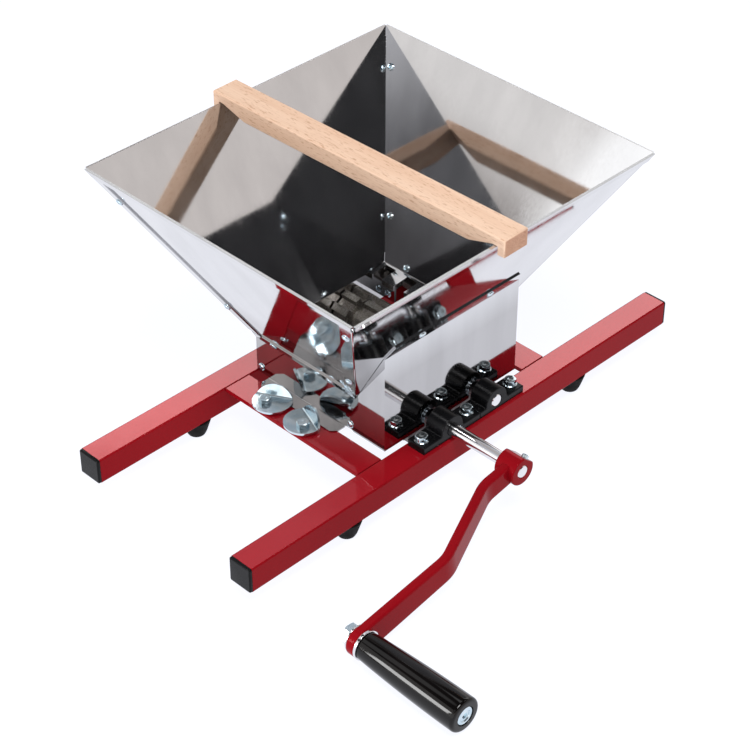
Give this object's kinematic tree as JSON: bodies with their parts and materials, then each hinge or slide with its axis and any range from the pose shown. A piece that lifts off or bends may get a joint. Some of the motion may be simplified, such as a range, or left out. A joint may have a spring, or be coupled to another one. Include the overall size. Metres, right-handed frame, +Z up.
{
  "type": "fruit crusher",
  "caption": "Hand-cranked fruit crusher with a polished steel funnel hopper, toothed rollers and a red tube frame.",
  "frame": {"origin": "on the floor under the middle of the two rails", "axes": "+X along the rails, +Y along the roller shafts away from the crank, +Z up"},
  "size_m": [0.526, 0.5106, 0.266],
  "materials": {
    "red_paint": "gloss powder coat",
    "polished_steel": "mirror polished stainless sheet",
    "zinc_plate": "bright zinc plate",
    "chromed_steel": "bright chrome",
    "cast_aluminium": "dull as cast",
    "gear_iron": "oiled steel",
    "black_plastic": "satin moulded plastic",
    "black_gloss": "polished black plastic",
    "black_rubber": "moulded rubber",
    "beech": "planed, unvarnished"
  },
  "bodies": {
    "frame": {"front_rail": "red_paint", "rear_rail": "red_paint", "left_cross_bar": "red_paint", "right_cross_bar": "red_paint", "rail_end_caps": "black_plastic", "rubber_feet": "black_rubber", "foot_screws": "zinc_plate", "right_hopper_panel": "polished_steel", "left_hopper_panel": "polished_steel", "front_hopper_panel": "polished_steel", "rear_hopper_panel": "polished_steel", "right_wall": "polished_steel", "left_wall": "polished_steel", "rear_plate": "polished_steel", "inner_plate": "polished_steel", "gear_cover": "polished_steel", "seam_rivets": "zinc_plate", "lip_rivets": "zinc_plate", "wall_rivets": "zinc_plate", "front_left_block": "black_plastic", "front_right_block": "black_plastic", "rear_left_block": "black_plastic", "rear_right_block": "black_plastic", "block_bolts": "zinc_plate", "block_nuts": "zinc_plate", "clamp_bolts": "zinc_plate", "clamp_nuts": "zinc_plate"},
    "drive": {"drive_shaft": "chromed_steel", "drive_roller": "cast_aluminium", "drive_roller_pins": "zinc_plate", "drive_gear": "gear_iron", "drive_gear_screw": "zinc_plate", "drive_shaft_rings": "zinc_plate", "crank_arm": "red_paint", "crank_set_screw": "zinc_plate", "handle_bolt": "zinc_plate", "handle_washers": "chromed_steel", "handle_nut": "zinc_plate"},
    "driven": {"driven_shaft": "chromed_steel", "driven_roller": "cast_aluminium", "driven_roller_pins": "zinc_plate", "driven_gear": "gear_iron", "driven_gear_screw": "zinc_plate", "driven_shaft_rings": "zinc_plate"},
    "grip": {"handle_grip": "black_gloss"},
    "left_rear_clamp": {"left_rear_clamp": "zinc_plate"},
    "left_front_clamp": {"left_front_clamp": "zinc_plate"},
    "right_rear_clamp": {"right_rear_clamp": "zinc_plate"},
    "right_front_clamp": {"right_front_clamp": "zinc_plate"},
    "bar": {"wooden_bar": "beech"}
  },
  "joints": [
    {"name": "crank", "type": "hinge", "parent": "frame", "child": "drive", "pos_m": [-0.025, 0, 0.0522], "axis": [0, 1, 0], "continuous": true},
    {"name": "driven_roller_turn", "type": "hinge", "parent": "frame", "child": "driven", "pos_m": [0.031, 0, 0.0522], "axis": [0, 1, 0], "continuous": true},
    {"name": "grip_spin", "type": "hinge", "parent": "drive", "child": "grip", "pos_m": [-0.23711, -0.27, 0.01708], "axis": [0, 1, 0], "continuous": true},
    {"name": "left_rear_clamp_turn", "type": "hinge", "parent": "frame", "child": "left_rear_clamp", "pos_m": [-0.1081, 0.04185, 0.0455], "axis": [0, 0, 1], "range_deg": [-110, 0]},
    {"name": "left_front_clamp_turn", "type": "hinge", "parent": "frame", "child": "left_front_clamp", "pos_m": [-0.1081, -0.00665, 0.0455], "axis": [0, 0, 1], "range_deg": [0, 110]},
    {"name": "right_front_clamp_turn", "type": "hinge", "parent": "frame", "child": "right_front_clamp", "pos_m": [0.1081, -0.00665, 0.0455], "axis": [0, 0, 1], "range_deg": [-110, 0]},
    {"name": "right_rear_clamp_turn", "type": "hinge", "parent": "frame", "child": "right_rear_clamp", "pos_m": [0.1081, 0.04185, 0.0455], "axis": [0, 0, 1], "range_deg": [0, 110]},
    {"name": "bar_lift", "type": "slide", "parent": "frame", "child": "bar", "axis": [0, 0, 1], "range_m": [0, 0.15]}
  ],
  "couplings": [
    {"joint": "driven_roller_turn", "follows": "crank", "ratio": -1}
  ]
}
